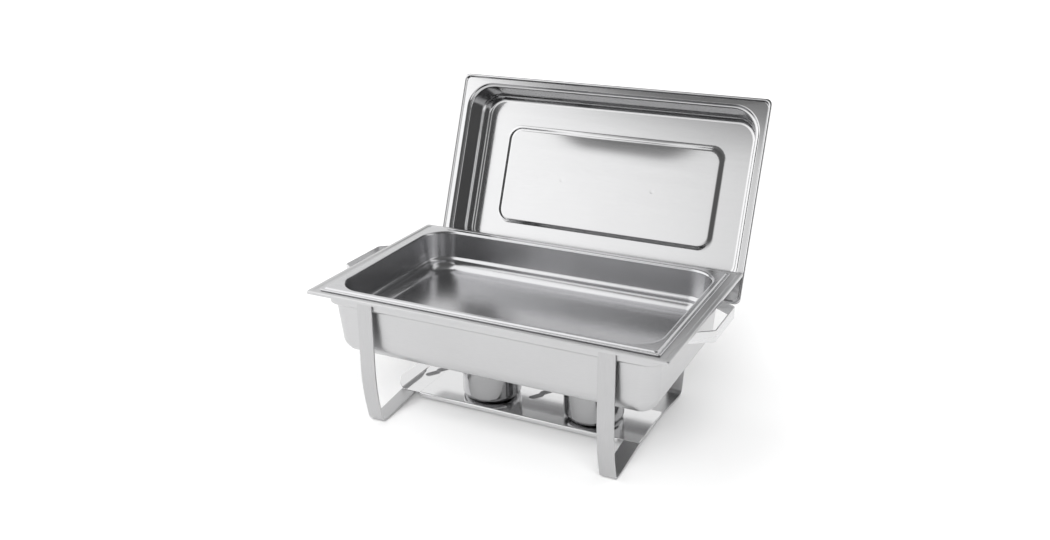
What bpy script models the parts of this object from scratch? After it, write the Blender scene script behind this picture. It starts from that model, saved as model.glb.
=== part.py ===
"""Chafing dish food warmer: a strip frame, a water pan, a food pan, a lid held upright and two burners.

Units are metres, +Z is up and -Y is the front. The origin is on the floor, under the middle of the
whole set's bounding box, so the frame stands in front of it and the lid leans behind it.
"""

from math import cos, pi, radians, sin, sqrt, tan

import bmesh
import bpy
from mathutils import Matrix, Vector

MM = 0.001
GAP = 0.3 * MM
SHEET = 1 * MM
CORNER_STEPS = 7
BEND_STEPS = 4
TURNING_STEPS = 40

# The frame's middle lies this far from the origin.
FRAME_MIDDLE_Y = -90 * MM

# Frame strips
STRIP_WIDTH = 25 * MM
STRIP_THICK = 2.8 * MM
LEG_OUTER_X = 203 * MM
LEG_FACE_Y = 158.5 * MM
LEG_TOP_Z = 207.8 * MM
LEG_CURVE_TOP_Z = 100 * MM
LEG_CURVE_BOTTOM_Z = 14 * MM
LEG_CURVE_INSET = 11.6 * MM
LEG_CURVE_STEPS = 6
FOOT_OUTER_Y = 142.5 * MM
FOOT_INNER_Y = 126 * MM
FOOT_BEND = 10 * MM
SEAT_END_Y = 54 * MM
SEAT_TOP_Z = 10.7 * MM
SEAT_BEND = 8 * MM
RAIL_TOP_Z = 208.7 * MM
RAIL_THICK = 2.2 * MM
RAIL_OUTER_Y = 171 * MM

# Burner shelf
SHELF_TOP_Z = SEAT_TOP_Z + GAP + SHEET
SHELF_HALF_Y = 52 * MM
SHELF_HEM_HALF_X = 169 * MM
SHELF_HEM_DROP = 7 * MM
TAB_FRONT_Y = -50 * MM
TAB_REAR_Y = 28 * MM
TAB_HEIGHT = 18 * MM
TAB_LEAN = radians(25)
TAB_CHAMFER = 8 * MM

# Water pan, as half sizes and heights
PAN_RIM_X = 281.5 * MM
PAN_RIM_Y = 174 * MM
PAN_LEDGE_Z = 210 * MM
PAN_FLOOR_Z = 106.2 * MM
PAN_SHOULDER_INSET = 19.3 * MM

# Food pan, a 1/1 gastronorm tray
TRAY_RIM_X = 265 * MM
TRAY_RIM_Y = 162.5 * MM
TRAY_TOP_Z = 214.3 * MM
TRAY_DEPTH = 65 * MM

# Lid lying flat, then its stored place
LID_RIM_X = 274.5 * MM
LID_RIM_Y = 163 * MM
LID_DEPTH = 58 * MM
LID_FIELD_DROP = 2.5 * MM
LID_LIP = 3.2 * MM
LID_LEAN = radians(21.1)
LID_FOOT_Y = 194.6 * MM
LID_FOOT_Z = 148.4 * MM
LID_HANDLE_REACH = 34 * MM

# Lid rests
REST_THICK = 2.5 * MM
REST_FOOT_Z = 105 * MM
REST_LIP = 12 * MM
REST_BACK = 75 * MM
REST_BEND = 4 * MM
REST_LIP_PLAY = 1.7 * MM

# Strip handles
HANDLE_WIDTH = 17 * MM
HANDLE_THICK = 2.2 * MM
HANDLE_BAR = 46 * MM
HANDLE_KNEE = 74 * MM
HANDLE_END = 93 * MM
HANDLE_BEND = 5 * MM
PAN_HANDLE_REACH = 41 * MM
PAN_HANDLE_TOP_Z = 206 * MM
PAN_HANDLE_Y = 4 * MM

# Burners
BURNER_PLACES = ((-65.5 * MM, 1 * MM), (109.5 * MM, 1 * MM))
CUP_RADIUS = 46.5 * MM
CUP_HEIGHT = 58 * MM
CUP_BEND = 9 * MM
COVER_SHEET = 0.8 * MM
COVER_SKIRT = 22 * MM
COVER_OPENING = 20 * MM
COVER_BEND = 0.6 * MM
PIVOT_RADIUS = 32 * MM
PIVOT_HOLE = 2.3 * MM
DAMPER_RADIUS = 24 * MM
DAMPER_DISC = 1.8 * MM
DAMPER_STRIP = 1.4 * MM
DAMPER_LIFT = 0.5 * MM
DAMPER_WIDTH = 10 * MM
DAMPER_REACH = 115 * MM
DAMPER_TAB = 20 * MM
DAMPER_DROP = 2.4 * MM
DAMPER_ANGLE = radians(237)
RIVET_SHANK = 1.9 * MM
RIVET_HEAD = 3.8 * MM
RIVET_HEAD_HEIGHT = 1.3 * MM

BRUSHED = (0.74, 0.74, 0.75)
POLISHED = (0.80, 0.80, 0.81)


def clear_scene():
    for item in list(bpy.data.objects):
        bpy.data.objects.remove(item, do_unlink=True)


def steel(name, colour, roughness):
    """A stainless steel material of its own for one piece."""
    material = bpy.data.materials.new(name)
    material.use_nodes = True
    shader = material.node_tree.nodes["Principled BSDF"]
    shader.inputs["Base Color"].default_value = (*colour, 1.0)
    shader.inputs["Roughness"].default_value = roughness
    shader.inputs["Metallic"].default_value = 1.0
    return material


def add_piece(name, maker, place=(0, 0, 0), colour=BRUSHED, roughness=0.3):
    """Makes an object from a bmesh, smooth across its round bends, placed from the frame's middle."""
    bmesh.ops.recalc_face_normals(maker, faces=maker.faces)
    mesh = bpy.data.meshes.new(name)
    maker.to_mesh(mesh)
    maker.free()
    mesh.shade_smooth()
    mesh.set_sharp_from_angle(angle=radians(35))
    mesh.materials.append(steel(name, colour, roughness))
    item = bpy.data.objects.new(name, mesh)
    item.location = Vector(place) + Vector((0, FRAME_MIDDLE_Y, 0))
    bpy.context.scene.collection.objects.link(item)
    return item


def loft(rings, closed=False):
    """A solid through rings of equal point counts: capped at both ends, or closed into a loop."""
    maker = bmesh.new()
    rows = [[maker.verts.new(point) for point in ring] for ring in rings]
    pairs = list(zip(rows, rows[1:]))
    if closed:
        pairs.append((rows[-1], rows[0]))
    else:
        maker.faces.new(rows[0])
        maker.faces.new(rows[-1])
    count = len(rows[0])
    for low, high in pairs:
        for i in range(count):
            j = (i + 1) % count
            maker.faces.new((low[i], low[j], high[j], high[i]))
    return maker


def box(low, high):
    """A plain box between two opposite corners."""
    maker = bmesh.new()
    size = Vector(high) - Vector(low)
    middle = Matrix.Translation((Vector(high) + Vector(low)) / 2)
    bmesh.ops.create_cube(maker, size=1, matrix=middle @ Matrix.Diagonal(size).to_4x4())
    return maker


def turned(profile, closed=False):
    """A body turned about Z from (radius, height) points, capped with flat discs or closed into a ring."""
    rings = []
    for radius, height in profile:
        angles = [2 * pi * step / TURNING_STEPS for step in range(TURNING_STEPS)]
        rings.append([Vector((radius * cos(angle), radius * sin(angle), height)) for angle in angles])
    return loft(rings, closed)


def rounded_path(corners):
    """Points of a flat path through corners (a, b, bend radius), with the bends as short arcs."""
    flat = [Vector(corner[:2]) for corner in corners]
    points = [flat[0]]
    for before, here, after, (_, _, radius) in zip(flat, flat[1:], flat[2:], corners[1:-1]):
        if radius == 0:
            points.append(here)
            continue
        into = (here - before).normalized()
        out = (after - here).normalized()
        turn = -into.angle_signed(out)
        start = here - into * radius * tan(abs(turn) / 2)
        side = 1 if turn > 0 else -1
        centre = start + Vector((-into.y, into.x)) * radius * side
        for step in range(BEND_STEPS + 1):
            spin = Matrix.Rotation(turn * step / BEND_STEPS, 2)
            points.append(centre + spin @ (start - centre))
    points.append(flat[-1])
    return points


def bent_strip(path, thick, edges, place):
    """A flat strip bent along a flat path.

    Each of edges is the strip's two side positions at that point of the path, and place turns
    (a, b, side position) into a point in space.
    """
    rings = []
    last = len(path) - 1
    for index, point in enumerate(path):
        into = (point - path[max(index - 1, 0)]).normalized()
        out = (path[min(index + 1, last)] - point).normalized()
        if index == 0:
            into = out
        if index == last:
            out = into
        along = (into + out).normalized()
        side = Vector((-along.y, along.x)) * thick / 2 / along.dot(into)
        near, far = point + side, point - side
        low, high = edges[index]
        rings.append([place(*near, low), place(*near, high), place(*far, high), place(*far, low)])
    return loft(rings)


def side_view(a, b, width):
    return Vector((width, a, b))


def round_box_ring(half_x, half_y, corner, height):
    """A level ring of points round a rectangle with round corners."""
    points = []
    for turn, (sx, sy) in enumerate(((1, 1), (-1, 1), (-1, -1), (1, -1))):
        for step in range(CORNER_STEPS + 1):
            angle = (turn + step / CORNER_STEPS) * pi / 2
            x = sx * (half_x - corner) + corner * cos(angle)
            y = sy * (half_y - corner) + corner * sin(angle)
            points.append(Vector((x, y, height)))
    return points


def pressed_sheet(half_x, half_y, outline, base=0):
    """A pressed rectangular body from its outline, all in mm: (inset from the rim, corner radius, height)."""
    rings = []
    for inset, corner, height in outline:
        x = half_x - inset * MM
        y = half_y - inset * MM
        rings.append(round_box_ring(x, y, corner * MM, base + height * MM))
    return loft(rings)


def floor_bend(inset, corner, floor, radius):
    """The round bend between a pan's floor and its wall, from the floor up, in mm like its outline."""
    rows = []
    for step in range(BEND_STEPS + 2):
        angle = pi / 2 * (1 - step / (BEND_STEPS + 1))
        pulled = radius * (1 - cos(angle))
        rows.append((inset + pulled, corner - pulled, floor + radius * (1 - sin(angle))))
    return rows


def cut(item, cutter_maker, place):
    """Cuts a hole through an object with a closed cutter mesh."""
    cutter = add_piece(item.name + "_hole", cutter_maker, place)
    apply_boolean(item, cutter, "DIFFERENCE")


def apply_boolean(item, other, operation):
    """Applies an exact Boolean to an object's mesh and removes the other object."""
    modifier = item.modifiers.new(operation.title(), "BOOLEAN")
    modifier.operation = operation
    modifier.solver = "EXACT"
    modifier.object = other
    bpy.context.view_layer.update()
    graph = bpy.context.evaluated_depsgraph_get()
    result = bpy.data.meshes.new_from_object(item.evaluated_get(graph))
    item.modifiers.remove(modifier)
    item.data = result
    bpy.data.objects.remove(other, do_unlink=True)


def leg_path():
    """Half of a frame side in (y, z): front leg, curved lower leg, foot and half of the shelf seat."""
    half = STRIP_THICK / 2
    face = -(LEG_FACE_Y - half)
    drop = LEG_CURVE_TOP_Z - LEG_CURVE_BOTTOM_Z
    radius = (drop**2 + LEG_CURVE_INSET**2) / (2 * LEG_CURVE_INSET)
    corners = [(face, LEG_TOP_Z, 0)]
    for step in range(LEG_CURVE_STEPS + 1):
        down = drop * step / LEG_CURVE_STEPS
        corners.append((face + radius - sqrt(radius**2 - down**2), LEG_CURVE_TOP_Z - down, 0))
    corners.append((-FOOT_OUTER_Y, half, FOOT_BEND))
    corners.append((-FOOT_INNER_Y, half, FOOT_BEND))
    corners.append((-SEAT_END_Y, SEAT_TOP_Z - half, SEAT_BEND))
    corners.append((0, SEAT_TOP_Z - half, 0))
    return rounded_path(corners)


def strip_edges(side, path):
    """The two side positions of a strip in line with a frame leg, for each point of its path."""
    edges = sorted((side * LEG_OUTER_X, side * (LEG_OUTER_X - STRIP_WIDTH)))
    return [edges] * len(path)


def make_frame_sides():
    front = leg_path()
    path = front + [Vector((-point.x, point.y)) for point in reversed(front[:-1])]
    for name, side in (("frame_side_left", -1), ("frame_side_right", 1)):
        add_piece(name, bent_strip(path, STRIP_THICK, strip_edges(side, path), side_view))


def make_rails():
    """The two flat strips outside the leg tops that carry the water pan's rim."""
    low = RAIL_TOP_Z - RAIL_THICK
    for name, side in (("rail_front", -1), ("rail_rear", 1)):
        near, far = sorted((side * (LEG_FACE_Y + GAP), side * RAIL_OUTER_Y))
        add_piece(name, box((-LEG_OUTER_X, near, low), (LEG_OUTER_X, far, RAIL_TOP_Z)))


def shelf_surface():
    """The shelf's top surface: a flat sheet, two turned-down hems and a leaning tab at each end."""
    maker = bmesh.new()
    columns = (-LEG_OUTER_X, -SHELF_HEM_HALF_X, SHELF_HEM_HALF_X, LEG_OUTER_X)
    lines = (-SHELF_HALF_Y, TAB_FRONT_Y, TAB_REAR_Y, SHELF_HALF_Y)
    grid = [[maker.verts.new((x, y, SHELF_TOP_Z)) for x in columns] for y in lines]
    for low, high in zip(grid, grid[1:]):
        for i in range(len(columns) - 1):
            maker.faces.new((low[i], low[i + 1], high[i + 1], high[i]))
    down = Vector((0, 0, SHELF_HEM_DROP))
    for line in (grid[0], grid[-1]):
        hem = [maker.verts.new(corner.co - down) for corner in line[1:3]]
        maker.faces.new((line[1], line[2], hem[1], hem[0]))
    for column, side in ((0, -1), (-1, 1)):
        tab = [grid[1][column], grid[2][column]]
        front, rear = (corner.co.copy() for corner in tab)
        for height, inset in ((TAB_HEIGHT - TAB_CHAMFER, 0), (TAB_HEIGHT, TAB_CHAMFER)):
            rise = Vector((side * height * sin(TAB_LEAN), 0, height * cos(TAB_LEAN)))
            tab.insert(0, maker.verts.new(front + rise + Vector((0, inset, 0))))
            tab.append(maker.verts.new(rear + rise - Vector((0, inset, 0))))
        maker.faces.new(tab)
    return maker


def make_shelf():
    """The burner shelf, thickened below its top surface."""
    item = add_piece("burner_shelf", shelf_surface(), colour=POLISHED, roughness=0.12)
    if item.data.polygons[0].normal.z < 0:
        item.data.flip_normals()
    solidify = item.modifiers.new("Sheet", "SOLIDIFY")
    solidify.thickness = SHEET
    solidify.offset = -1
    solidify.use_even_offset = True


def lid_point(out, up):
    """The (y, z) of a place on the stored lid's side view, from its lower rim edge."""
    y = LID_FOOT_Y + up * sin(LID_LEAN) + out * cos(LID_LEAN)
    z = LID_FOOT_Z + up * cos(LID_LEAN) - out * sin(LID_LEAN)
    return y, z


def make_lid_rests():
    """Two bent strips on the rear legs, with a lip, a bottom and a back for the stored lid."""
    half = REST_THICK / 2
    leg_y = LEG_FACE_Y + GAP + half
    lip_out = -(LID_LIP + REST_LIP_PLAY + half)
    back_out = LID_DEPTH + GAP + half
    bottom_up = -(GAP + half)
    lip_y, lip_z = lid_point(lip_out, REST_LIP)
    corners = [
        (leg_y, REST_FOOT_Z, 0),
        (leg_y, lip_z, REST_BEND),
        (lip_y, lip_z, REST_BEND),
        (*lid_point(lip_out, bottom_up), REST_BEND),
        (*lid_point(back_out, bottom_up), REST_BEND),
        (*lid_point(back_out, REST_BACK), 0),
    ]
    path = rounded_path(corners)
    for name, side in (("lid_rest_left", -1), ("lid_rest_right", 1)):
        add_piece(name, bent_strip(path, REST_THICK, strip_edges(side, path), side_view))


def make_water_pan():
    """The deep pan: rounded floor, tapering wall, shoulder, ledge, raised edge and turned-down lip."""
    shoulder = PAN_SHOULDER_INSET / MM
    floor = (PAN_FLOOR_Z - PAN_LEDGE_Z) / MM
    outside = floor_bend(28, 28, floor, 26)
    outside += [(24.8, 24, -24.8), (23.8, 23.2, -22.9), (20.6, 21, -22.1), (shoulder, 20, -20.5)]
    outside += [(shoulder, 20, -2.2), (18.95, 19.6, -1.35), (18.1, 18.8, -1), (7.4, 6, -1), (6.1, 5, 0.2)]
    outside += [(2.3, 3, 0.2), (1, 2.6, -0.9), (1, 2.6, -3.6)]
    inside = [(0, 3.6, -3.6), (0, 3.6, -0.5), (0.5, 3.6, 0.7), (1.8, 3.2, 1.2), (6.6, 5, 1.2), (7.9, 6, 0)]
    inside += [(18.1, 18, 0), (19.7, 18.6, -0.6), (20.3, 19, -2.2), (20.3, 19, -20.2), (21.3, 20.2, -21.1)]
    inside += [(24.4, 22.4, -21.9), (25.8, 23, -24.3)]
    inside += reversed(floor_bend(29, 27, floor + 1, 25))
    add_piece("water_pan", pressed_sheet(PAN_RIM_X, PAN_RIM_Y, outside + inside, PAN_LEDGE_Z), roughness=0.28)


def make_food_pan():
    """The food pan: stepped rim over the ledge, large corners, a low shoulder and a rounded floor."""
    floor = -TRAY_DEPTH / MM
    outside = floor_bend(21.5, 38, floor, 17)
    outside += [(20.2, 39.3, -46.9), (17.5, 42, -44.6), (13.5, 46, -3.6), (12.8, 46.5, -1.8), (11.2, 46, -1)]
    outside += [(6.6, 5, -1), (4.6, 4, -2.7), (1, 2, -2.7), (1, 2, -3.9)]
    inside = [(0, 3, -3.9), (0, 3, -2.3), (0.6, 2.8, -1.7), (4.2, 4, -1.7), (6.2, 5, 0)]
    inside += [(11.5, 45, 0), (13.5, 45.5, -0.8), (14.5, 45, -2.8), (18.5, 41, -44), (21.2, 38.3, -46.3)]
    inside += reversed(floor_bend(22.5, 37, floor + 1, 16))
    add_piece("food_pan", pressed_sheet(TRAY_RIM_X, TRAY_RIM_Y, outside + inside, TRAY_TOP_Z), roughness=0.2)


def place_on_lid(item, height=0):
    """Turns a piece from the flat lid's own axes, centred on the lid, into the lid's stored pose."""
    turn = Matrix.Rotation(-(pi / 2 + LID_LEAN), 4, "X")
    item.data.transform(Matrix.Translation((0, -LID_RIM_Y, height)))
    item.location = (0, LID_FOOT_Y + FRAME_MIDDLE_Y, LID_FOOT_Z)
    item.rotation_euler = turn.to_euler()


def make_lid():
    """The lid: turned lip, flat rim, stepped wall and a flat top with a pressed-in field."""
    top = LID_DEPTH / MM
    field = top - LID_FIELD_DROP / MM
    outside = [(81.8, 20, field), (76.8, 24, top), (33.4, 28.5, top), (30.6, 31, top - 1.2)]
    outside += [(28.6, 33, top - 4), (26.2, 35.5, top - 17.4), (23, 39, top - 20.4)]
    outside += [(17.9, 43.5, 5), (17.1, 44, 3.9), (15.1, 44.5, 3.5), (12.5, 46, 1)]
    outside += [(1.5, 9.6, 1), (0, 10, -0.4)]
    lip = -LID_LIP / MM
    inside = [(0, 10, -1.8), (1.2, 9.6, lip + 0.2), (2.3, 9.2, lip), (3.4, 8.8, lip + 0.3), (4.6, 8.4, -1.2)]
    inside += [(5.6, 8, 0.12), (12.9, 46, 0), (15.5, 44, 2.5), (17.8, 43.5, 3)]
    inside += [(18.9, 42.5, 4.6), (24, 38, top - 20.9), (27.2, 34.5, top - 17.9)]
    inside += [(29.6, 32, top - 4.3), (31.4, 30, top - 2), (33.8, 28, top - 1)]
    inside += [(77.2, 23.6, top - 1), (82.2, 19.6, field - 1)]
    item = add_piece("lid", pressed_sheet(LID_RIM_X, LID_RIM_Y, outside + inside), roughness=0.22)
    place_on_lid(item)


def handle_path(reach):
    """A strip handle in (distance from its wall, place along the wall), from foot to foot."""
    half = HANDLE_THICK / 2
    foot = GAP + half
    bar = reach - half
    corners = [(foot, -HANDLE_END, 0), (foot, -HANDLE_KNEE, HANDLE_BEND), (bar, -HANDLE_BAR, HANDLE_BEND)]
    corners += [(bar, HANDLE_BAR, HANDLE_BEND), (foot, HANDLE_KNEE, HANDLE_BEND), (foot, HANDLE_END, 0)]
    return rounded_path(corners)


def make_pan_handles():
    path = handle_path(PAN_HANDLE_REACH)
    edges = [(PAN_HANDLE_TOP_Z - HANDLE_WIDTH, PAN_HANDLE_TOP_Z)] * len(path)
    wall = PAN_RIM_X - PAN_SHOULDER_INSET
    for name, side in (("pan_handle_left", -1), ("pan_handle_right", 1)):
        maker = bent_strip(path, HANDLE_THICK, edges, lambda a, b, width: Vector((side * (wall + a), b, width)))
        add_piece(name, maker, (0, PAN_HANDLE_Y, 0))


def make_lid_handle():
    path = handle_path(LID_HANDLE_REACH)
    edges = [(-HANDLE_WIDTH / 2, HANDLE_WIDTH / 2)] * len(path)
    maker = bent_strip(path, HANDLE_THICK, edges, lambda a, b, width: Vector((b, width, a)))
    place_on_lid(add_piece("lid_handle", maker), LID_DEPTH - LID_FIELD_DROP)


def make_cup(name, place):
    """An open fuel cup with a rounded foot."""
    bend = []
    for step in range(BEND_STEPS + 1):
        angle = pi / 2 * (1 - step / BEND_STEPS)
        bend.append((1 - cos(angle), 1 - sin(angle)))
    profile = [(CUP_RADIUS - CUP_BEND * a, CUP_BEND * b) for a, b in bend]
    profile += [(CUP_RADIUS, CUP_HEIGHT), (CUP_RADIUS - SHEET, CUP_HEIGHT)]
    small = CUP_BEND - SHEET
    profile += [(CUP_RADIUS - SHEET - small * a, SHEET + small * b) for a, b in reversed(bend)]
    add_piece(name, turned(profile), place, POLISHED, 0.1)


def pivot_place(place, height):
    """A damper's pivot, on the line from the cup's middle towards the damper's handle."""
    x = place[0] + PIVOT_RADIUS * cos(DAMPER_ANGLE)
    y = place[1] + PIVOT_RADIUS * sin(DAMPER_ANGLE)
    return (x, y, place[2] + height)


def make_cover(name, place):
    """The cover: a skirt over the cup, a flat top with a round opening and the rivet's hole."""
    inner = CUP_RADIUS + GAP
    outer = inner + COVER_SHEET
    profile = [(outer, -COVER_SKIRT), (outer, COVER_SHEET - COVER_BEND), (outer - COVER_BEND, COVER_SHEET)]
    profile += [(COVER_OPENING, COVER_SHEET), (COVER_OPENING, 0), (inner, 0), (inner, -COVER_SKIRT)]
    seat = CUP_HEIGHT + GAP
    item = add_piece(name, turned(profile, closed=True), (place[0], place[1], place[2] + seat), POLISHED, 0.12)
    hole = turned([(PIVOT_HOLE, -2 * COVER_SHEET), (PIVOT_HOLE, 3 * COVER_SHEET)])
    cut(item, hole, pivot_place(place, seat))


def make_damper(name, place):
    """The damper: a disc over the cover's opening and a long strip handle with a joggled round end."""
    disc_low = -(DAMPER_DISC - DAMPER_STRIP) / 2
    disc = turned([(DAMPER_RADIUS, disc_low), (DAMPER_RADIUS, disc_low + DAMPER_DISC)])
    disc.transform(Matrix.Translation((-PIVOT_RADIUS, 0, 0)))
    half = DAMPER_STRIP / 2
    joggle = DAMPER_REACH - DAMPER_TAB - PIVOT_RADIUS
    tip = DAMPER_REACH - PIVOT_RADIUS
    round_end = DAMPER_WIDTH / 2
    corners = [(DAMPER_RADIUS / 2 - PIVOT_RADIUS, half, 0), (joggle - DAMPER_DROP, half, DAMPER_DROP / 2)]
    corners += [(joggle, half - DAMPER_DROP, DAMPER_DROP / 2), (tip - round_end, half - DAMPER_DROP, 0)]
    path = rounded_path(corners)
    widths = [round_end] * len(path)
    for step in range(1, BEND_STEPS):
        angle = pi / 2 * step / BEND_STEPS
        path.append(Vector((tip - round_end * (1 - sin(angle)), half - DAMPER_DROP)))
        widths.append(round_end * cos(angle))
    edges = [(-width, width) for width in widths]
    strip = bent_strip(path, DAMPER_STRIP, edges, lambda a, b, width: Vector((a, width, b)))
    low = CUP_HEIGHT + GAP + COVER_SHEET + DAMPER_LIFT
    pivot = pivot_place(place, low)
    item = add_piece(name, disc, pivot, POLISHED, 0.15)
    other = add_piece(name + "_strip", strip, pivot, POLISHED, 0.15)
    apply_boolean(item, other, "UNION")
    cut(item, turned([(PIVOT_HOLE, -DAMPER_DISC), (PIVOT_HOLE, 2 * DAMPER_DISC)]), pivot)
    item.rotation_euler = (0, 0, DAMPER_ANGLE)


def make_rivet(name, place):
    """The rivet that a damper turns on: a shank through cover and damper with a head at each end."""
    seat = CUP_HEIGHT + GAP
    under = -GAP
    over = COVER_SHEET + DAMPER_LIFT + (DAMPER_DISC + DAMPER_STRIP) / 2 + GAP
    profile = [(RIVET_HEAD * 0.7, under - RIVET_HEAD_HEIGHT), (RIVET_HEAD, under - RIVET_HEAD_HEIGHT / 2)]
    profile += [(RIVET_HEAD, under), (RIVET_SHANK, under), (RIVET_SHANK, over), (RIVET_HEAD, over)]
    profile += [(RIVET_HEAD, over + RIVET_HEAD_HEIGHT / 2), (RIVET_HEAD * 0.7, over + RIVET_HEAD_HEIGHT)]
    add_piece(name, turned(profile), pivot_place(place, seat), BRUSHED, 0.25)


def make_burners():
    for number, (x, y) in enumerate(BURNER_PLACES, start=1):
        place = (x, y, SHELF_TOP_Z + GAP)
        name = f"burner_{number}"
        make_cup(f"{name}_cup", place)
        make_cover(f"{name}_cover", place)
        make_damper(f"{name}_damper", place)
        make_rivet(f"{name}_rivet", place)


clear_scene()
make_frame_sides()
make_rails()
make_shelf()
make_lid_rests()
make_water_pan()
make_pan_handles()
make_food_pan()
make_lid()
make_lid_handle()
make_burners()
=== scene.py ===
"""Chafing dish food warmer: finished stainless steel surfaces, a pale studio and the camera.

Every CAD node is shown by a finer piece of the same size, with rounded edges and bends. Dimensions
are in millimetres, measured from the middle of the frame on the floor. finish_mesh turns them into
metres in the CAD's own axes.
"""

from math import cos, pi, radians, sin, sqrt, tan

import bmesh
import bpy
from mathutils import Matrix, Vector


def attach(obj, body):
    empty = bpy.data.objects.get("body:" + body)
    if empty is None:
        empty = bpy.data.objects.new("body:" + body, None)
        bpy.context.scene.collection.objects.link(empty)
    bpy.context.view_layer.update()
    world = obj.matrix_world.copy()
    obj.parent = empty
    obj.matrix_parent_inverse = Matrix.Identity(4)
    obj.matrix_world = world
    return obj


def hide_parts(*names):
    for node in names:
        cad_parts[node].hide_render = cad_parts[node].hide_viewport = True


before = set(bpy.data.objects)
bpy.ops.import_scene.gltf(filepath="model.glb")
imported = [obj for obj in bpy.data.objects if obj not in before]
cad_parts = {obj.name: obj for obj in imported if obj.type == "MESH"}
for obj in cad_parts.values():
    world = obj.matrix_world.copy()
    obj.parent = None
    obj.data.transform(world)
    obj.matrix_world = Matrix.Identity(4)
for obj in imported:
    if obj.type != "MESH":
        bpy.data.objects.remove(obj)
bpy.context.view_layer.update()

MM = 0.001
GAP = 0.3
SHEET = 1.0
FRAME_MIDDLE_Y = -90

CORNER_STEPS = 18
FILLET_STEPS = 5
BEND_STEPS = 12
TURNING_STEPS = 128
SMOOTH_BELOW = radians(38)

STRIP_WIDTH = 25
STRIP_THICK = 2.8
LEG_OUTER_X = 203
LEG_FACE_Y = 158.5
LEG_TOP_Z = 207.8
LEG_CURVE_TOP_Z = 100
LEG_CURVE_BOTTOM_Z = 14
LEG_CURVE_INSET = 11.6
FOOT_OUTER_Y = 142.5
FOOT_INNER_Y = 126
FOOT_BEND = 10
SEAT_END_Y = 54
SEAT_TOP_Z = 10.7
SEAT_BEND = 8
RAIL_TOP_Z = 208.7
RAIL_THICK = 2.2
RAIL_OUTER_Y = 171

SHELF_TOP_Z = SEAT_TOP_Z + GAP + SHEET
SHELF_HALF_Y = 52
SHELF_HEM_HALF_X = 169
SHELF_HEM_DROP = 7
SHELF_BEND = 1.6
TAB_FRONT_Y = -50
TAB_REAR_Y = 28
TAB_HEIGHT = 18
TAB_LEAN = radians(25)
TAB_CHAMFER = 8
TAB_BEND = 3

PAN_RIM_X = 281.5
PAN_RIM_Y = 174
PAN_LEDGE_Z = 210
PAN_FLOOR_Z = 106.2
PAN_SHOULDER_INSET = 19.3

TRAY_RIM_X = 265
TRAY_RIM_Y = 162.5
TRAY_TOP_Z = 214.3
TRAY_DEPTH = 65

LID_RIM_X = 274.5
LID_RIM_Y = 163
LID_DEPTH = 58
LID_FIELD_DROP = 2.5
LID_FIELD_INSET = 77.2
LID_FIELD_SLOPE = 5
LID_DENT = 1.1
LID_DENT_X = 20
LID_DENT_HALF_X = 160
LID_DENT_FADE_X = 100
LID_DENT_REACH = 42
LID_DENT_CELLS_X = 32
LID_DENT_CELLS_Y = 14
LID_LIP = 3.2
LID_LEAN = radians(21.1)
LID_FOOT_Y = 194.6
LID_FOOT_Z = 148.4
LID_HANDLE_REACH = 34

REST_THICK = 2.5
REST_FOOT_Z = 105
REST_LIP = 12
REST_BACK = 75
REST_BEND = 4
REST_LIP_PLAY = 1.7

HANDLE_WIDTH = 17
HANDLE_THICK = 2.2
HANDLE_BAR = 46
HANDLE_KNEE = 74
HANDLE_END = 93
HANDLE_BEND = 5
HANDLE_WELD = (HANDLE_KNEE + HANDLE_END) / 2
PAN_HANDLE_REACH = 41
PAN_HANDLE_TOP_Z = 206
PAN_HANDLE_Y = 4

BURNER_PLACES = ((-65.5, 1), (109.5, 1))
CUP_RADIUS = 46.5
CUP_HEIGHT = 58
CUP_BEND = 9
COVER_SHEET = 0.8
COVER_SKIRT = 22
COVER_OPENING = 20
PIVOT_RADIUS = 32
DAMPER_RADIUS = 24
DAMPER_DISC = 1.8
DAMPER_STRIP = 1.4
DAMPER_LIFT = 0.5
DAMPER_WIDTH = 10
DAMPER_REACH = 115
DAMPER_TAB = 20
DAMPER_DROP = 2.4
DAMPER_ANGLE = radians(237)
RIVET_SHANK = 1.9
RIVET_HEAD = 3.8
RIVET_HEAD_HEIGHT = 1.3


def finish_mesh(name, maker, node, body, material, matrix=None):
    """Makes the shown piece from a bmesh in mm, smooth across bends, standing for a CAD node.

    matrix places a piece that was made in its own axes, with its distances in metres.
    """
    bmesh.ops.recalc_face_normals(maker, faces=maker.faces)
    mesh = bpy.data.meshes.new(name)
    maker.to_mesh(mesh)
    maker.free()
    middle = Matrix.Translation((0, FRAME_MIDDLE_Y * MM, 0))
    mesh.transform(middle @ (matrix or Matrix()) @ Matrix.Scale(MM, 4))
    mesh.shade_smooth()
    mesh.set_sharp_from_angle(angle=SMOOTH_BELOW)
    mesh.materials.append(material)
    piece = bpy.data.objects.new(name, mesh)
    bpy.context.scene.collection.objects.link(piece)
    weighted = piece.modifiers.new("Flat faces lead", "WEIGHTED_NORMAL")
    weighted.keep_sharp = True
    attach(piece, body)
    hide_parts(node)


def loft(rings, closed=False):
    """Skins rings of equal point counts: capped at both ends, or closed into a loop."""
    maker = bmesh.new()
    rows = [[maker.verts.new(point) for point in ring] for ring in rings]
    pairs = list(zip(rows, rows[1:]))
    if closed:
        pairs.append((rows[-1], rows[0]))
    else:
        maker.faces.new(rows[0])
        maker.faces.new(rows[-1])
    count = len(rows[0])
    for low, high in pairs:
        for i in range(count):
            j = (i + 1) % count
            maker.faces.new((low[i], low[j], high[j], high[i]))
    return maker


def add_maker(maker, other):
    """Adds another bmesh's faces to this one."""
    mesh = bpy.data.meshes.new("part")
    other.to_mesh(mesh)
    other.free()
    maker.from_mesh(mesh)
    bpy.data.meshes.remove(mesh)


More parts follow.
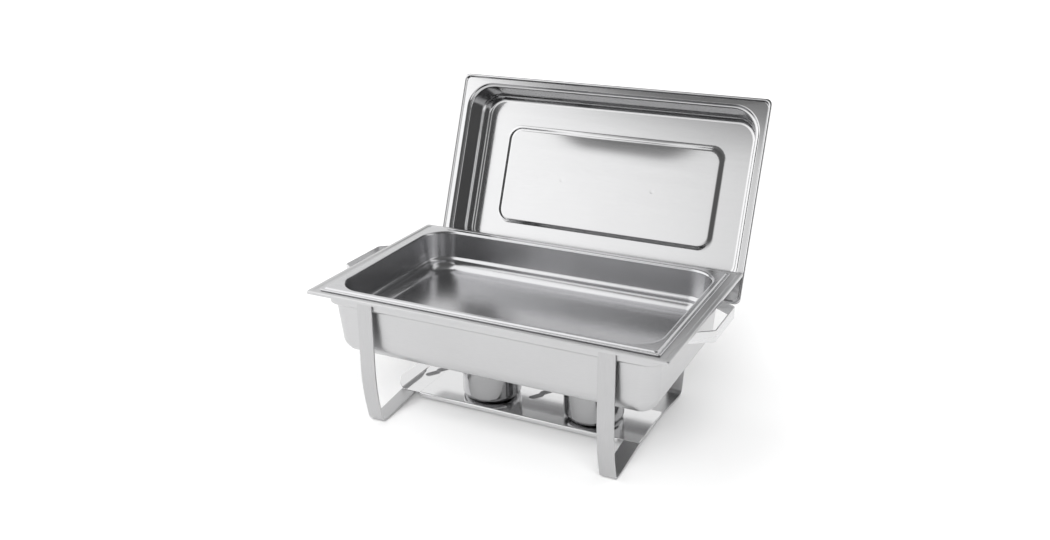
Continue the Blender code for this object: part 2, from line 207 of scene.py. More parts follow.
def soften(rows, reach, steps=FILLET_STEPS):
    """Rounds each inner corner of a chain of number tuples, at most reach along each side."""
    chain = [Vector(row) for row in rows]
    made = [chain[0]]
    for before, here, after in zip(chain, chain[1:], chain[2:]):
        back, ahead = before - here, after - here
        cut = min(reach, back.length * 0.48, ahead.length * 0.48)
        start = here + back.normalized() * cut
        end = here + ahead.normalized() * cut
        for step in range(steps + 1):
            t = step / steps
            made.append(start * (1 - t) ** 2 + here * (2 * t * (1 - t)) + end * t**2)
    made.append(chain[-1])
    return [tuple(row) for row in made]


def rounded_path(corners):
    """Points of a flat path through corners (a, b, bend radius), with the bends as fine arcs."""
    flat = [Vector(corner[:2]) for corner in corners]
    points = [flat[0]]
    for before, here, after, (_, _, radius) in zip(flat, flat[1:], flat[2:], corners[1:-1]):
        if radius == 0:
            points.append(here)
            continue
        into = (here - before).normalized()
        out = (after - here).normalized()
        turn = -into.angle_signed(out)
        start = here - into * radius * tan(abs(turn) / 2)
        side = 1 if turn > 0 else -1
        centre = start + Vector((-into.y, into.x)) * radius * side
        steps = max(3, round(abs(turn) / radians(7)))
        for step in range(steps + 1):
            spin = Matrix.Rotation(turn * step / steps, 2)
            points.append(centre + spin @ (start - centre))
    points.append(flat[-1])
    return points


def strip_section(thick, low, high, edge):
    """A strip's cross-section as (offset from its middle, side position), with round edges."""
    half = thick / 2
    points = []
    for turn, (st, sw) in enumerate(((1, 1), (-1, 1), (-1, -1), (1, -1))):
        for step in range(4):
            angle = (turn + step / 3) * pi / 2
            middle = high - edge if sw > 0 else low + edge
            points.append((st * (half - edge) + edge * cos(angle), middle + edge * sin(angle)))
    return points


def bent_strip(path, thick, edges, place, edge):
    """A flat strip with rounded edges, bent along a flat path.

    edges holds the strip's two side positions at each point of the path, and place turns a point
    of the path's plane and a side position into a point in space.
    """
    rings = []
    last = len(path) - 1
    for index, point in enumerate(path):
        into = (point - path[max(index - 1, 0)]).normalized()
        out = (path[min(index + 1, last)] - point).normalized()
        if index == 0:
            into = out
        if index == last:
            out = into
        along = (into + out).normalized()
        side = Vector((-along.y, along.x)) / along.dot(into)
        low, high = edges[index]
        ring = [place(*(point + side * t), w) for t, w in strip_section(thick, low, high, edge)]
        rings.append(ring)
    return loft(rings)


def side_view(a, b, width):
    """For bent_strip: a path in (y, z), with the strip's width along x."""
    return Vector((width, a, b))


def front_view(a, b, width):
    """For bent_strip: a path in (x, z), with the strip's width along y."""
    return Vector((a, width, b))


def round_box_ring(half_x, half_y, corner, height):
    """A level ring of points round a rectangle with round corners."""
    points = []
    corner = max(corner, 0.2)
    for turn, (sx, sy) in enumerate(((1, 1), (-1, 1), (-1, -1), (1, -1))):
        for step in range(CORNER_STEPS + 1):
            angle = (turn + step / CORNER_STEPS) * pi / 2
            x = sx * (half_x - corner) + corner * cos(angle)
            y = sy * (half_y - corner) + corner * sin(angle)
            points.append(Vector((x, y, height)))
    return points


def pressed_sheet(half_x, half_y, outline, base, reach):
    """A pressed rectangular body from its outline: (inset from the rim, corner radius, height)."""
    rings = []
    for inset, corner, height in soften(outline, reach):
        rings.append(round_box_ring(half_x - inset, half_y - inset, corner, base + height))
    return loft(rings)


def floor_bend(inset, corner, floor, radius):
    """The round bend between a pan's floor and its wall, from the floor up."""
    rows = [(inset + radius + 8, max(corner - radius, 2), floor)]
    for step in range(BEND_STEPS + 1):
        angle = pi / 2 * (1 - step / BEND_STEPS)
        pulled = radius * (1 - cos(angle))
        rows.append((inset + pulled, corner - pulled, floor + radius * (1 - sin(angle))))
    return rows


def turned(profile, reach=0.3, closed=False, place=(0, 0)):
    """A body turned about Z from (radius, height) points, with softened corners."""
    angles = [2 * pi * step / TURNING_STEPS for step in range(TURNING_STEPS)]
    rings = []
    for radius, height, _ in soften([(*row, 0) for row in profile], reach, 3):
        ring = []
        for angle in angles:
            x, y = place[0] + radius * cos(angle), place[1] + radius * sin(angle)
            ring.append(Vector((x, y, height)))
        rings.append(ring)
    return loft(rings, closed)


# Materials, with depths and the inner and outer radius of a spot weld's mark in metres

FINE_SCALE = 22
STREAK_SCALE = 5
CLOUD_SCALE = 7
BRUSH_DEPTH = 0.0004
SPOT_WELD = (0.0015, 0.0045)
SPOT_WELD_DEPTH = 0.00008


class Nodes:
    """A small helper for building the node tree of a material or a world."""

    def __init__(self, owner):
        owner.use_nodes = True
        self.owner = owner
        self.tree = owner.node_tree
        self.shader = self.tree.nodes.get("Principled BSDF")

    def add(self, kind, **values):
        node = self.tree.nodes.new(kind)
        for key, value in values.items():
            setattr(node, key, value)
        return node

    def link(self, source, target):
        self.tree.links.new(source, target)

    def math(self, operation, a, b=0):
        node = self.add("ShaderNodeMath", operation=operation)
        for socket, value in zip(node.inputs, (a, b)):
            if isinstance(value, (int, float)):
                socket.default_value = value
            else:
                self.link(value, socket)
        return node.outputs[0]

    def noise(self, coordinates, scale, detail=2.0, stretch=(1, 1, 1)):
        mapping = self.add("ShaderNodeMapping")
        mapping.inputs["Scale"].default_value = stretch
        self.link(coordinates, mapping.inputs["Vector"])
        noise = self.add("ShaderNodeTexNoise")
        noise.inputs["Scale"].default_value = scale
        noise.inputs["Detail"].default_value = detail
        self.link(mapping.outputs["Vector"], noise.inputs["Vector"])
        return noise.outputs["Fac"]

    def ramp(self, value, start, end, low=0.0, high=1.0):
        """A smooth step of a value between start and end."""
        node = self.add("ShaderNodeMapRange", interpolation_type="SMOOTHSTEP")
        node.inputs["From Min"].default_value = start
        node.inputs["From Max"].default_value = end
        node.inputs["To Min"].default_value = low
        node.inputs["To Max"].default_value = high
        self.link(value, node.inputs["Value"])
        return node.outputs["Result"]

    def dot(self, vector, direction):
        """How far a vector reaches along a fixed direction."""
        node = self.add("ShaderNodeVectorMath", operation="DOT_PRODUCT")
        self.link(vector, node.inputs[0])
        node.inputs[1].default_value = direction
        return node.outputs["Value"]

    def spread(self, value, low, high):
        """A noise value, stretched over low to high."""
        node = self.add("ShaderNodeMapRange")
        node.inputs["From Min"].default_value = 0.3
        node.inputs["From Max"].default_value = 0.7
        node.inputs["To Min"].default_value = low
        node.inputs["To Max"].default_value = high
        self.link(value, node.inputs["Value"])
        return node.outputs["Result"]


def steel(name, colour, rough, grain, streak, cloud, bump, shape=None, painted_shade=None):
    """Stainless steel: fine brushed grain, soft streaks and faint handling clouds.

    grain stretches the brushing: low along the brushed direction and high across it. shape adds
    larger shallow forms: it gets the nodes and the coordinates and returns a height in metres.
    painted_shade gets the nodes and returns the painted shade: how much the colour is darkened
    where shade is painted.
    """
    nodes = Nodes(bpy.data.materials.new(name))
    place = nodes.add("ShaderNodeTexCoord").outputs["Object"]
    fine = nodes.noise(place, FINE_SCALE, 4, grain)
    broad = nodes.noise(place, STREAK_SCALE, 2, tuple(value * 0.35 for value in grain))
    clouds = nodes.noise(place, CLOUD_SCALE, 3)
    brushed = nodes.spread(fine, -streak, streak)
    clouded = nodes.spread(clouds, -cloud * 0.4, cloud * 0.4)
    shade = nodes.math("ADD", brushed, clouded)
    # Painted shade: the colour is darkened here where shade is painted.
    if painted_shade:
        shade = nodes.math("SUBTRACT", shade, painted_shade(nodes))
    colours = nodes.add("ShaderNodeCombineColor")
    for socket, value in zip(colours.inputs, colour):
        nodes.link(nodes.math("ADD", shade, value), socket)
    nodes.link(colours.outputs["Color"], nodes.shader.inputs["Base Color"])
    streaked = nodes.spread(broad, rough - streak, rough + streak)
    roughness = nodes.math("ADD", streaked, nodes.spread(clouds, 0, cloud))
    nodes.link(roughness, nodes.shader.inputs["Roughness"])
    lines = nodes.add("ShaderNodeBump")
    lines.inputs["Strength"].default_value = bump
    lines.inputs["Distance"].default_value = BRUSH_DEPTH
    nodes.link(fine, lines.inputs["Height"])
    if shape:
        form = nodes.add("ShaderNodeBump")
        form.inputs["Distance"].default_value = 1.0
        nodes.link(shape(nodes, place), form.inputs["Height"])
        nodes.link(form.outputs["Normal"], lines.inputs["Normal"])
    nodes.link(lines.outputs["Normal"], nodes.shader.inputs["Normal"])
    nodes.shader.inputs["Metallic"].default_value = 1.0
    return nodes.owner


LID_UP = (0, sin(LID_LEAN), cos(LID_LEAN))


def lid_form(nodes, place):
    """The faint marks of the handle's two spot welds on the lid's sheet."""
    foot = (LID_FOOT_Y + FRAME_MIDDLE_Y) * sin(LID_LEAN) + LID_FOOT_Z * cos(LID_LEAN)
    up = nodes.math("SUBTRACT", nodes.dot(place, LID_UP), foot * MM)
    across = nodes.math("ABSOLUTE", nodes.dot(place, (1, 0, 0)))
    spot_up = nodes.math("POWER", nodes.math("SUBTRACT", up, LID_RIM_Y * MM), 2)
    spot_across = nodes.math("POWER", nodes.math("SUBTRACT", across, HANDLE_WELD * MM), 2)
    distance = nodes.math("SQRT", nodes.math("ADD", spot_up, spot_across))
    return nodes.ramp(distance, *SPOT_WELD, -SPOT_WELD_DEPTH, 0.0)


def lid_painted_shade(nodes):
    """Painted shade: the lid's long walls and steps get a darker colour, standing in for the dark
    reflections on them.
    """
    normal = nodes.add("ShaderNodeNewGeometry").outputs["Normal"]
    along = nodes.math("ABSOLUTE", nodes.dot(normal, LID_UP))
    return nodes.ramp(along, 0.1, 0.55, 0.0, 0.35)


# steel(name, colour, roughness, grain, streak, cloud, bump)
PAN_STEEL = steel("brushed_pan", (0.54, 0.54, 0.545), 0.3, (4, 4, 60), 0.012, 0.04, 0.01)
TRAY_STEEL = steel("inset_pan", (0.56, 0.56, 0.57), 0.2, (4, 4, 60), 0.012, 0.04, 0.008)
# The lid's colour is darker on its long walls and steps: painted shade.
LID_STEEL = steel(
    "lid", (0.62, 0.62, 0.625), 0.1, (3, 60, 60), 0.01, 0.03, 0.006, lid_form, lid_painted_shade
)
FRAME_STEEL = steel("strip", (0.5, 0.5, 0.505), 0.33, (60, 3, 3), 0.015, 0.04, 0.008)
HANDLE_STEEL = steel("handle", (0.66, 0.66, 0.665), 0.24, (3, 3, 60), 0.02, 0.04, 0.02)
SHELF_STEEL = steel("shelf", (0.76, 0.76, 0.765), 0.08, (3, 60, 60), 0.01, 0.02, 0.006)
# The burners' steel is darker than the rest: painted shade, for the shade under the pans that the
# cups reflect.
SHADED_BURNER_STEEL = steel("burner", (0.38, 0.38, 0.385), 0.11, (2, 2, 60), 0.01, 0.02, 0.006)
RIVET_STEEL = steel("rivet", (0.6, 0.6, 0.6), 0.25, (2, 2, 60), 0.02, 0.05, 0.02)


# Frame


def leg_path():
    """Half of a frame side in (y, z): front leg with its curve, foot, half of the shelf's seat."""
    half = STRIP_THICK / 2
    face = -(LEG_FACE_Y - half)
    drop = LEG_CURVE_TOP_Z - LEG_CURVE_BOTTOM_Z
    radius = (drop**2 + LEG_CURVE_INSET**2) / (2 * LEG_CURVE_INSET)
    corners = [(face, LEG_TOP_Z, 0)]
    steps = 24
    for step in range(steps + 1):
        down = drop * step / steps
        corners.append((face + radius - sqrt(radius**2 - down**2), LEG_CURVE_TOP_Z - down, 0))
    corners.append((-FOOT_OUTER_Y, half, FOOT_BEND))
    corners.append((-FOOT_INNER_Y, half, FOOT_BEND))
    corners.append((-SEAT_END_Y, SEAT_TOP_Z - half, SEAT_BEND))
    corners.append((0, SEAT_TOP_Z - half, 0))
    return rounded_path(corners)


def strip_edges(side, path):
    """The side positions of a leg strip on the left or right, for every point of its path."""
    edges = sorted((side * LEG_OUTER_X, side * (LEG_OUTER_X - STRIP_WIDTH)))
    return [edges] * len(path)


def make_frame():
    front = leg_path()
    path = front + [Vector((-point.x, point.y)) for point in reversed(front[:-1])]
    for name, side in (("frame_side_left", -1), ("frame_side_right", 1)):
        maker = bent_strip(path, STRIP_THICK, strip_edges(side, path), side_view, 0.6)
        finish_mesh(f"{name}_strip", maker, name, "frame", FRAME_STEEL)
    low = RAIL_TOP_Z - RAIL_THICK
    for name, side in (("rail_front", -1), ("rail_rear", 1)):
        near, far = sorted((side * (LEG_FACE_Y + GAP), side * RAIL_OUTER_Y))
        ends = [Vector((x, low + RAIL_THICK / 2)) for x in (-LEG_OUTER_X, LEG_OUTER_X)]
        maker = bent_strip(ends, RAIL_THICK, [(near, far)] * 2, front_view, 0.4)
        finish_mesh(f"{name}_strip", maker, name, "frame", FRAME_STEEL)


def make_shelf():
    """The shelf: a hemmed middle and a tongue with a leaning tab at each end."""
    half = SHEET / 2
    level = SHELF_TOP_Z - half
    hem_y = SHELF_HALF_Y - half
    hem_z = SHELF_TOP_Z - SHELF_HEM_DROP
    corners = [(-hem_y, hem_z, 0), (-hem_y, level, SHELF_BEND)]
    corners += [(hem_y, level, SHELF_BEND), (hem_y, hem_z, 0)]
    path = rounded_path(corners)
    edges = [(-SHELF_HEM_HALF_X, SHELF_HEM_HALF_X)] * len(path)
    maker = bent_strip(path, SHEET, edges, side_view, 0.2)
    for side in (-1, 1):
        rise = TAB_HEIGHT - half
        top = (side * (LEG_OUTER_X + rise * sin(TAB_LEAN)), level + rise * cos(TAB_LEAN), 0)
        corners = [(side * SHELF_HEM_HALF_X, level, 0), (side * LEG_OUTER_X, level, TAB_BEND), top]
        path = rounded_path(corners)
        edges = []
        for point in path:
            height = (point.y - level) / cos(TAB_LEAN)
            chamfer = max(0, height - (TAB_HEIGHT - TAB_CHAMFER))
            on_tab = height > 0.01
            low = TAB_FRONT_Y + chamfer if on_tab else -SHELF_HALF_Y
            high = TAB_REAR_Y - chamfer if on_tab else SHELF_HALF_Y
            edges.append((low, high))
        knee = path[-1] - (path[-1] - path[-2]).normalized() * TAB_CHAMFER
        path.insert(-1, knee)
        edges.insert(-1, (TAB_FRONT_Y, TAB_REAR_Y))
        tab = bent_strip(path, SHEET, edges, front_view, 0.2)
        add_maker(maker, tab)
    finish_mesh("burner_shelf_sheet", maker, "burner_shelf", "frame", SHELF_STEEL)


def lid_point(out, up):
    """The (y, z) of a point this far out behind the lid's rim and up from its lower edge."""
    y = LID_FOOT_Y + up * sin(LID_LEAN) + out * cos(LID_LEAN)
    z = LID_FOOT_Z + up * cos(LID_LEAN) - out * sin(LID_LEAN)
    return y, z


def make_lid_rests():
    half = REST_THICK / 2
    leg_y = LEG_FACE_Y + GAP + half
    lip_out = -(LID_LIP + REST_LIP_PLAY + half)
    back_out = LID_DEPTH + GAP + half
    bottom_up = -(GAP + half)
    lip_y, lip_z = lid_point(lip_out, REST_LIP)
    corners = [
        (leg_y, REST_FOOT_Z, 0),
        (leg_y, lip_z, REST_BEND),
        (lip_y, lip_z, REST_BEND),
        (*lid_point(lip_out, bottom_up), REST_BEND),
        (*lid_point(back_out, bottom_up), REST_BEND),
        (*lid_point(back_out, REST_BACK), 0),
    ]
    path = rounded_path(corners)
    for name, side in (("lid_rest_left", -1), ("lid_rest_right", 1)):
        maker = bent_strip(path, REST_THICK, strip_edges(side, path), side_view, 0.6)
        finish_mesh(f"{name}_strip", maker, name, "frame", FRAME_STEEL)


# Pans, each an outline from the middle of the underside out to the rim and back in over the top


def make_water_pan():
    shoulder = PAN_SHOULDER_INSET
    floor = PAN_FLOOR_Z - PAN_LEDGE_Z
    outside = floor_bend(28, 28, floor, 26)
    outside += [(24.8, 24, -24.8), (23.8, 23.2, -22.9), (20.6, 21, -22.1), (shoulder, 20, -20.5)]
    outside += [(shoulder, 20, -2.2), (18.95, 19.6, -1.35), (18.1, 18.8, -1)]
    outside += [(7.4, 6, -1), (6.1, 5, 0.2), (2.3, 3, 0.2), (1, 2.6, -0.9), (1, 2.6, -3.6)]
    inside = [(0, 3.6, -3.6), (0, 3.6, -0.5), (0.5, 3.6, 0.7), (1.8, 3.2, 1.2)]
    inside += [(6.6, 5, 1.2), (7.9, 6, 0), (18.1, 18, 0), (19.7, 18.6, -0.6), (20.3, 19, -2.2)]
    inside += [(20.3, 19, -20.2), (21.3, 20.2, -21.1), (24.4, 22.4, -21.9), (25.8, 23, -24.3)]
    inside += reversed(floor_bend(29, 27, floor + SHEET, 25))
    maker = pressed_sheet(PAN_RIM_X, PAN_RIM_Y, outside + inside, PAN_LEDGE_Z, 1.6)
    finish_mesh("water_pan_sheet", maker, "water_pan", "water_pan", PAN_STEEL)


def make_food_pan():
    floor = -TRAY_DEPTH
    outside = floor_bend(21.5, 38, floor, 17)
    outside += [(20.2, 39.3, -46.9), (17.5, 42, -44.6), (13.5, 46, -3.6), (12.8, 46.5, -1.8)]
    outside += [(11.2, 46, -1), (6.6, 5, -1), (4.6, 4, -2.7), (1, 2, -2.7), (1, 2, -3.9)]
    inside = [(0, 3, -3.9), (0, 3, -2.3), (0.6, 2.8, -1.7), (4.2, 4, -1.7), (6.2, 5, 0)]
    inside += [(11.5, 45, 0), (13.5, 45.5, -0.8), (14.5, 45, -2.8)]
    inside += [(18.5, 41, -44), (21.2, 38.3, -46.3)]
    inside += reversed(floor_bend(22.5, 37, floor + SHEET, 16))
    maker = pressed_sheet(TRAY_RIM_X, TRAY_RIM_Y, outside + inside, TRAY_TOP_Z, 1.6)
    finish_mesh("food_pan_sheet", maker, "food_pan", "food_pan", TRAY_STEEL)


def lid_place(height=0):
    """From the axes of the lid lying flat, centred on its rim, into its stored pose."""
    turn = Matrix.Rotation(-(pi / 2 + LID_LEAN), 4, "X")
    foot = Matrix.Translation((0, LID_FOOT_Y * MM, LID_FOOT_Z * MM))
    return foot @ turn @ Matrix.Translation((0, -LID_RIM_Y * MM, height * MM))


def dent_depth(x, up):
    """How far the field is eased back below its top edge, at x and up from the lower edge."""
    edge = 2 * LID_RIM_Y - LID_FIELD_INSET - LID_FIELD_SLOPE
    rise = min(max(1 - (edge - up) / LID_DENT_REACH, 0), 1)
    fade = min(max(1 - (up - edge) / LID_FIELD_SLOPE, 0), 1)
    side = min(max((LID_DENT_HALF_X - abs(x - LID_DENT_X)) / LID_DENT_FADE_X, 0), 1)
    return LID_DENT * rise**2 * fade * side**2 * (3 - 2 * side)


def dent_field(maker):
    """Cuts a grid into both faces of the field's upper part and eases it back."""
    margin = 3
    half_x = LID_RIM_X - LID_FIELD_INSET + margin
    half_y = LID_RIM_Y - LID_FIELD_INSET + margin
    faces = []
    for face in maker.faces:
        if all(abs(v.co.x) < half_x and abs(v.co.y) < half_y for v in face.verts):
            faces.append(face)
    cuts = []
    for step in range(LID_DENT_CELLS_X + 1):
        x = LID_DENT_X + LID_DENT_HALF_X * (2 * step / LID_DENT_CELLS_X - 1)
        cuts.append(((x, 0, 0), (1, 0, 0)))
    edge = LID_FIELD_INSET + LID_FIELD_SLOPE - LID_RIM_Y
    for step in range(LID_DENT_CELLS_Y + 1):
        cuts.append(((0, edge + LID_DENT_REACH * step / LID_DENT_CELLS_Y, 0), (0, 1, 0)))
    for spot, direction in cuts:
        parts = set(faces)
        for face in faces:
            parts.update(face.edges)
            parts.update(face.verts)
        cut = bmesh.ops.bisect_plane(
            maker, geom=list(parts), dist=0.001, plane_co=spot, plane_no=direction
        )
        faces = [part for part in cut["geom"] if isinstance(part, bmesh.types.BMFace)]
    for vertex in {vertex for face in faces for vertex in face.verts}:
        vertex.co.z += dent_depth(vertex.co.x, LID_RIM_Y - vertex.co.y)


def make_lid():
    top = LID_DEPTH
    field = top - LID_FIELD_DROP
    outside = [(90, 14, field), (81.8, 20, field), (76.8, 24, top), (33.4, 28.5, top)]
    outside += [(30.6, 31, top - 1.2), (28.6, 33, top - 4), (26.2, 35.5, top - 17.4)]
    outside += [(23, 39, top - 20.4), (17.9, 43.5, 5), (17.1, 44, 3.9), (15.1, 44.5, 3.5)]
    outside += [(12.5, 46, 1), (1.5, 9.6, 1), (0, 10, -0.4)]
    lip = -LID_LIP
    inside = [(0, 10, -1.8), (1.2, 9.6, lip + 0.2), (2.3, 9.2, lip), (3.4, 8.8, lip + 0.3)]
    inside += [(4.6, 8.4, -1.2), (5.6, 8, 0.12), (12.9, 46, 0), (15.5, 44, 2.5), (17.8, 43.5, 3)]
    inside += [(18.9, 42.5, 4.6), (24, 38, top - 20.9), (27.2, 34.5, top - 17.9)]
    inside += [(29.6, 32, top - 4.3), (31.4, 30, top - 2), (33.8, 28, top - SHEET)]
    inside += [(LID_FIELD_INSET, 23.6, top - SHEET)]
    inside += [(LID_FIELD_INSET + LID_FIELD_SLOPE, 19.6, field - SHEET), (90, 14, field - SHEET)]
    maker = pressed_sheet(LID_RIM_X, LID_RIM_Y, outside + inside, 0, 5)
    dent_field(maker)
    finish_mesh("lid_sheet", maker, "lid", "lid", LID_STEEL, lid_place())


# Handles


def handle_path(reach):
    """A strip handle in (distance from its wall, place along the wall)."""
    half = HANDLE_THICK / 2
    foot = GAP + half
    bar = reach - half
    corners = [(foot, -HANDLE_END, 0), (foot, -HANDLE_KNEE, HANDLE_BEND)]
    corners += [(bar, -HANDLE_BAR, HANDLE_BEND), (bar, HANDLE_BAR, HANDLE_BEND)]
    corners += [(foot, HANDLE_KNEE, HANDLE_BEND), (foot, HANDLE_END, 0)]
    return rounded_path(corners)


def make_handles():
    path = handle_path(PAN_HANDLE_REACH)
    edges = [(PAN_HANDLE_TOP_Z - HANDLE_WIDTH, PAN_HANDLE_TOP_Z)] * len(path)
    wall = PAN_RIM_X - PAN_SHOULDER_INSET
    for name, side in (("pan_handle_left", -1), ("pan_handle_right", 1)):

        def place(a, b, width):
            return Vector((side * (wall + a), b + PAN_HANDLE_Y, width))

        maker = bent_strip(path, HANDLE_THICK, edges, place, 0.5)
        finish_mesh(f"{name}_strip", maker, name, "water_pan", HANDLE_STEEL)
    path = handle_path(LID_HANDLE_REACH)
    edges = [(-HANDLE_WIDTH / 2, HANDLE_WIDTH / 2)] * len(path)
    maker = bent_strip(path, HANDLE_THICK, edges, lambda a, b, width: Vector((b, width, a)), 0.5)
    place = lid_place(LID_DEPTH - LID_FIELD_DROP)
    finish_mesh("lid_handle_strip", maker, "lid_handle", "lid", HANDLE_STEEL, place)


# Burners


def make_cup(name, place, base):
    bend = []
    steps = 8
    for step in range(steps + 1):
        angle = pi / 2 * (1 - step / steps)
        bend.append((1 - cos(angle), 1 - sin(angle)))
    profile = [(CUP_RADIUS - CUP_BEND * a, base + CUP_BEND * b) for a, b in bend]
    inner = CUP_RADIUS - SHEET
    profile += [(CUP_RADIUS, base + CUP_HEIGHT), (inner, base + CUP_HEIGHT)]
    small = CUP_BEND - SHEET
    profile += [(inner - small * a, base + SHEET + small * b) for a, b in reversed(bend)]
    maker = turned(profile, place=place)
    finish_mesh(f"{name}_shell", maker, name, name, SHADED_BURNER_STEEL)


def make_cover(name, place, seat):
    inner = CUP_RADIUS + GAP
    outer = inner + COVER_SHEET
    top = seat + COVER_SHEET
    profile = [(outer, seat - COVER_SKIRT), (outer, top), (COVER_OPENING, top)]
    profile += [(COVER_OPENING, seat), (inner, seat), (inner, seat - COVER_SKIRT)]
    maker = turned(profile, 0.25, True, place)
    finish_mesh(f"{name}_shell", maker, name, name, SHADED_BURNER_STEEL)


def pivot_place(place):
    """Where a burner's damper is riveted to its cover."""
    x = place[0] + PIVOT_RADIUS * cos(DAMPER_ANGLE)
    y = place[1] + PIVOT_RADIUS * sin(DAMPER_ANGLE)
    return x, y


def make_damper(name, place, low):
    disc_low = -(DAMPER_DISC - DAMPER_STRIP) / 2
    rim = [(DAMPER_RADIUS, disc_low), (DAMPER_RADIUS, disc_low + DAMPER_DISC)]
    profile = [(1, disc_low), *rim, (1, disc_low + DAMPER_DISC)]
    maker = turned(profile, 0.3, place=(-PIVOT_RADIUS, 0))
    half = DAMPER_STRIP / 2
    joggle = DAMPER_REACH - DAMPER_TAB - PIVOT_RADIUS
    tip = DAMPER_REACH - PIVOT_RADIUS
    round_end = DAMPER_WIDTH / 2
    corners = [(DAMPER_RADIUS / 2 - PIVOT_RADIUS, half, 0)]
    corners.append((joggle - DAMPER_DROP, half, DAMPER_DROP / 2))
    corners.append((joggle, half - DAMPER_DROP, DAMPER_DROP / 2))
    corners.append((tip - round_end, half - DAMPER_DROP, 0))
    path = rounded_path(corners)
    widths = [round_end] * len(path)
    steps = 10
    for step in range(1, steps):
        angle = pi / 2 * step / steps
        path.append(Vector((tip - round_end * (1 - sin(angle)), half - DAMPER_DROP)))
        widths.append(round_end * cos(angle))
    edges = [(-width, width) for width in widths]
    strip = bent_strip(path, DAMPER_STRIP, edges, front_view, 0.2)
    add_maker(maker, strip)
    pivot = Matrix.Translation((*pivot_place(place), low))
    maker.transform(pivot @ Matrix.Rotation(DAMPER_ANGLE, 4, "Z"))
    finish_mesh(f"{name}_plate", maker, name, name, SHADED_BURNER_STEEL)


def make_rivet(name, place, seat, body):
    over = seat + COVER_SHEET + DAMPER_LIFT + (DAMPER_DISC + DAMPER_STRIP) / 2 + GAP
    under = seat - GAP
    face = RIVET_HEAD * 0.7
    middle = RIVET_HEAD_HEIGHT / 2
    profile = [(face, under - RIVET_HEAD_HEIGHT), (RIVET_HEAD, under - middle)]
    profile += [(RIVET_HEAD, under), (RIVET_SHANK, under), (RIVET_SHANK, over), (RIVET_HEAD, over)]
    profile += [(RIVET_HEAD, over + middle), (face, over + RIVET_HEAD_HEIGHT)]
    maker = turned(profile, 0.3, place=pivot_place(place))
    finish_mesh(f"{name}_pin", maker, name, body, RIVET_STEEL)


def make_burners():
    base = SHELF_TOP_Z + GAP
    seat = base + CUP_HEIGHT + GAP
    for number, place in enumerate(BURNER_PLACES, start=1):
        name = f"burner_{number}"
        make_cup(f"{name}_cup", place, base)
        make_cover(f"{name}_cover", place, seat)
        make_damper(f"{name}_damper", place, seat + COVER_SHEET + DAMPER_LIFT)
        make_rivet(f"{name}_rivet", place, seat, f"{name}_cover")


# Studio


CAMERA_PLACE = (0.64658, -1.41412, 0.78974)
CAMERA_YAW = radians(26.24)
CAMERA_PITCH = radians(20.8)
CAMERA_ROLL = radians(-0.32)
CAMERA_LENS = 36.08

FLOOR_RADIUS = 14
FLOOR_TONE = (0.885, 0.9)
FLOOR_GLOW = 0.08

SUN_SIZE = radians(50)
SUN_ENERGY = 2.2
SUN_TURN = (radians(44), 0, radians(21))

# The room as soft patches: (degrees right of the front, degrees up, radius, softness, brightness).
ROOM_LIGHT = 1.0
ROOM_PATCHES = (
    (-46, 18, 22, 14, 1.5),
    (-25, 75, 47.4, 1.4, 0.2),
    (-80, 36, 41, 4, 1.6),
    (38, 28, 36, 12, 0.14),
)


def make_camera():
    yaw, pitch = CAMERA_YAW, CAMERA_PITCH
    forward = Vector((-sin(yaw) * cos(pitch), cos(yaw) * cos(pitch), -sin(pitch)))
    right = Vector((cos(yaw), sin(yaw), 0))
    up = right.cross(forward)
    across = cos(CAMERA_ROLL) * right + sin(CAMERA_ROLL) * up
    upright = cos(CAMERA_ROLL) * up - sin(CAMERA_ROLL) * right
    turn = Matrix((across, upright, -forward)).transposed()
    data = bpy.data.cameras.new("camera")
    data.sensor_width = 36
    data.lens = CAMERA_LENS
    camera = bpy.data.objects.new("camera", data)
    camera.matrix_world = Matrix.Translation(CAMERA_PLACE) @ turn.to_4x4()
    bpy.context.scene.collection.objects.link(camera)
    bpy.context.scene.camera = camera


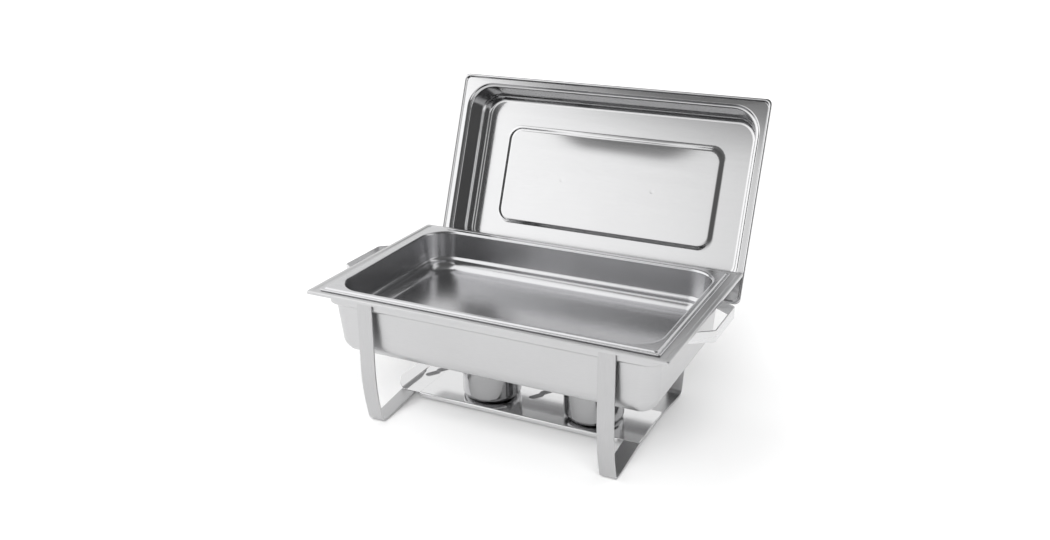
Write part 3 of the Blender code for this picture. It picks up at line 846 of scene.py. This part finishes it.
def make_floor():
    maker = bmesh.new()
    bmesh.ops.create_circle(maker, cap_ends=True, radius=FLOOR_RADIUS, segments=96)
    mesh = bpy.data.meshes.new("studio_floor")
    maker.to_mesh(mesh)
    maker.free()
    nodes = Nodes(bpy.data.materials.new("studio_floor"))
    place = nodes.add("ShaderNodeTexCoord").outputs["Object"]
    tone = nodes.spread(nodes.noise(place, 1.5, 2), *FLOOR_TONE)
    colours = nodes.add("ShaderNodeCombineColor")
    for socket in colours.inputs:
        nodes.link(tone, socket)
    nodes.link(colours.outputs["Color"], nodes.shader.inputs["Base Color"])
    nodes.shader.inputs["Roughness"].default_value = 0.7
    nodes.shader.inputs["Emission Color"].default_value = (1, 1, 1, 1)
    nodes.shader.inputs["Emission Strength"].default_value = FLOOR_GLOW
    nodes.shader.inputs["Specular IOR Level"].default_value = 0.2
    mesh.materials.append(nodes.owner)
    floor = bpy.data.objects.new("studio_floor", mesh)
    bpy.context.scene.collection.objects.link(floor)


def make_world():
    """A white room: soft lights at the left, a dark ceiling and a dark wall at the front right."""
    world = bpy.data.worlds.new("studio")
    nodes = Nodes(world)
    direction = nodes.add("ShaderNodeTexCoord").outputs["Generated"]
    light = ROOM_LIGHT
    for azimuth, rise, radius, soft, brightness in ROOM_PATCHES:
        azimuth, rise = radians(azimuth), radians(rise)
        towards = (sin(azimuth) * cos(rise), -cos(azimuth) * cos(rise), sin(rise))
        limits = cos(radians(radius + soft)), cos(radians(radius - soft))
        inside = nodes.ramp(nodes.dot(direction, towards), *limits)
        step = nodes.math("SUBTRACT", brightness, light)
        light = nodes.math("ADD", nodes.math("MULTIPLY", step, inside), light)
    nodes.link(light, nodes.tree.nodes["Background"].inputs["Strength"])
    nodes.tree.nodes["Background"].inputs["Color"].default_value = (1, 1, 1, 1)
    bpy.context.scene.world = world


def make_sun():
    """A broad soft key light from beside the camera, with no mirror image in the steel."""
    data = bpy.data.lights.new("key", "SUN")
    data.angle = SUN_SIZE
    data.energy = SUN_ENERGY
    lamp = bpy.data.objects.new("key", data)
    lamp.rotation_euler = SUN_TURN
    lamp.visible_glossy = False
    bpy.context.scene.collection.objects.link(lamp)


make_frame()
make_shelf()
make_lid_rests()
make_water_pan()
make_food_pan()
make_lid()
make_handles()
make_burners()
make_camera()
make_floor()
make_world()
make_sun()
bpy.context.scene.view_settings.view_transform = "Standard"
